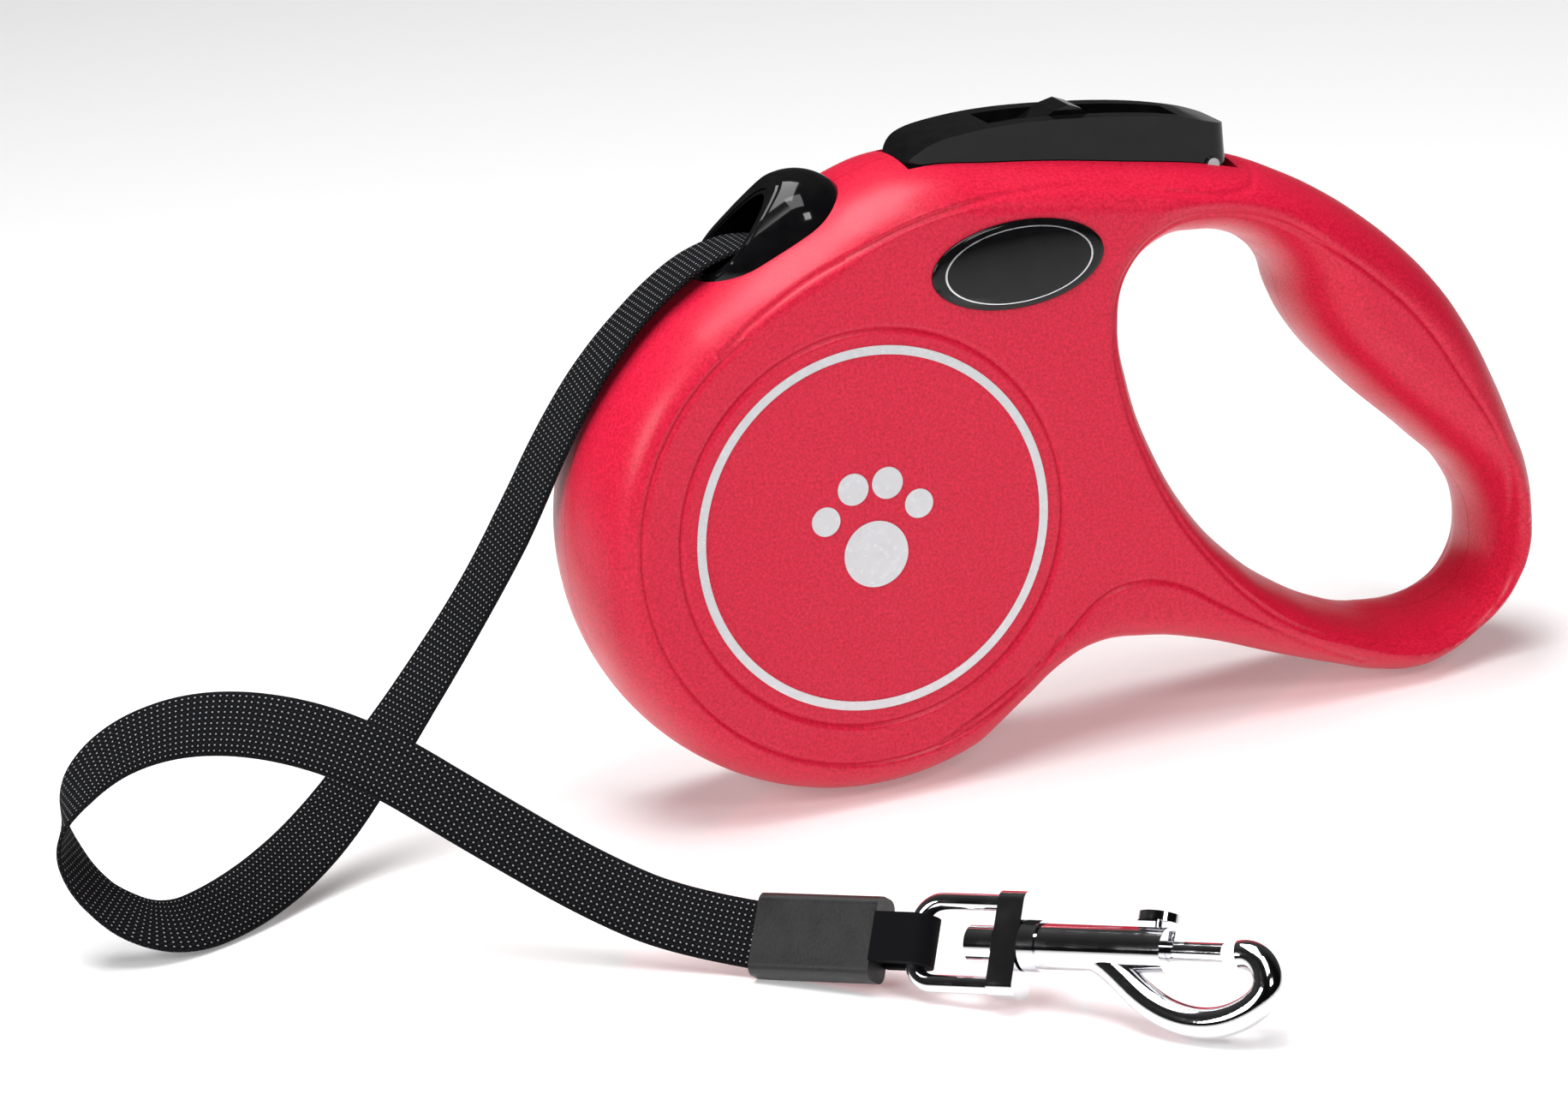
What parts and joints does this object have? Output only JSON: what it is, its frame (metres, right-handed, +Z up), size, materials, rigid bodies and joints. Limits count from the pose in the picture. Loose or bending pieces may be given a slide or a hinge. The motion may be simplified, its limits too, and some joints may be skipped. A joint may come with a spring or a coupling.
{
  "type": "retractable leash",
  "caption": "Retractable tape leash with a round reel case, closed loop grip, thumb brake button with lock, woven tape and a swivel bolt-snap hook.",
  "frame": {"origin": "middle of the footprint of the case and grip, on the surface the leash stands on", "axes": "+X from the reel case to the grip, +Y through the thickness away from the near side, +Z up"},
  "size_m": [0.2445, 0.1552, 0.1011],
  "materials": {
    "red_shell": "fine-textured satin ABS",
    "black_gloss": "polished black",
    "badge_black": "polished black",
    "silver_trim": "satin silver",
    "steel": "plain",
    "spring_steel": "oiled",
    "tape": "woven",
    "sleeve": "moulded matt",
    "chrome": "plated",
    "nylon": "moulded"
  },
  "bodies": {
    "housing": {"near_shell": "red_shell", "far_shell": "red_shell", "outlet_nozzle": "black_gloss", "outlet_ring": "black_gloss", "near_badge": "badge_black", "far_badge": "badge_black", "near_ring": "silver_trim", "far_ring": "silver_trim", "near_paw": "silver_trim", "far_paw": "silver_trim", "housing_screws": "steel", "reel_axle": "steel", "reel_washers": "steel", "button_pin": "steel", "pawl_spring": "spring_steel", "tape": "tape", "tape_sleeve": "sleeve", "tape_end_loop": "tape", "swivel_eye": "chrome"},
    "reel": {"reel_drum": "nylon", "spring_cover": "nylon", "power_spring": "spring_steel", "tape_coil": "tape"},
    "button": {"brake_button": "black_gloss"},
    "lock": {"lock_slider": "black_gloss"},
    "pawl": {"brake_pawl": "nylon"},
    "hook": {"hook_body": "chrome", "swivel_rivet": "chrome", "bolt_spring": "spring_steel"},
    "bolt": {"hook_bolt": "chrome", "bolt_knob": "chrome"}
  },
  "joints": [
    {"name": "reel_spin", "type": "hinge", "parent": "housing", "child": "reel", "pos_m": [-0.036, 0, 0.0442], "axis": [0, 1, 0], "continuous": true},
    {"name": "button_press", "type": "hinge", "parent": "housing", "child": "button", "pos_m": [0.028, 0, 0.0882], "axis": [0, -1, 0], "range_deg": [0, 3.8], "stiffness_Nm_per_rad": 1, "springref_deg": -4.58},
    {"name": "pawl_drop", "type": "slide", "parent": "housing", "child": "pawl", "axis": [0, 0, -1], "range_m": [0, 0.00292], "deforming": ["pawl_spring"]},
    {"name": "lock_slide", "type": "slide", "parent": "button", "child": "lock", "axis": [-0.992, 0, 0.1264], "range_m": [0, 0.005]},
    {"name": "swivel_turn", "type": "hinge", "parent": "housing", "child": "hook", "pos_m": [-0.0636, -0.0898, 0.0074], "axis": [0.6281, -0.7742, 0.078], "continuous": true},
    {"name": "bolt_pull", "type": "slide", "parent": "hook", "child": "bolt", "axis": [-0.6281, 0.7742, -0.078], "range_m": [0, 0.005], "stiffness_N_per_m": 300, "springref_m": -0.002, "deforming": ["bolt_spring"]}
  ],
  "couplings": [
    {"joint": "pawl_drop", "follows": "button_press", "m_per_rad": 0.044}
  ]
}
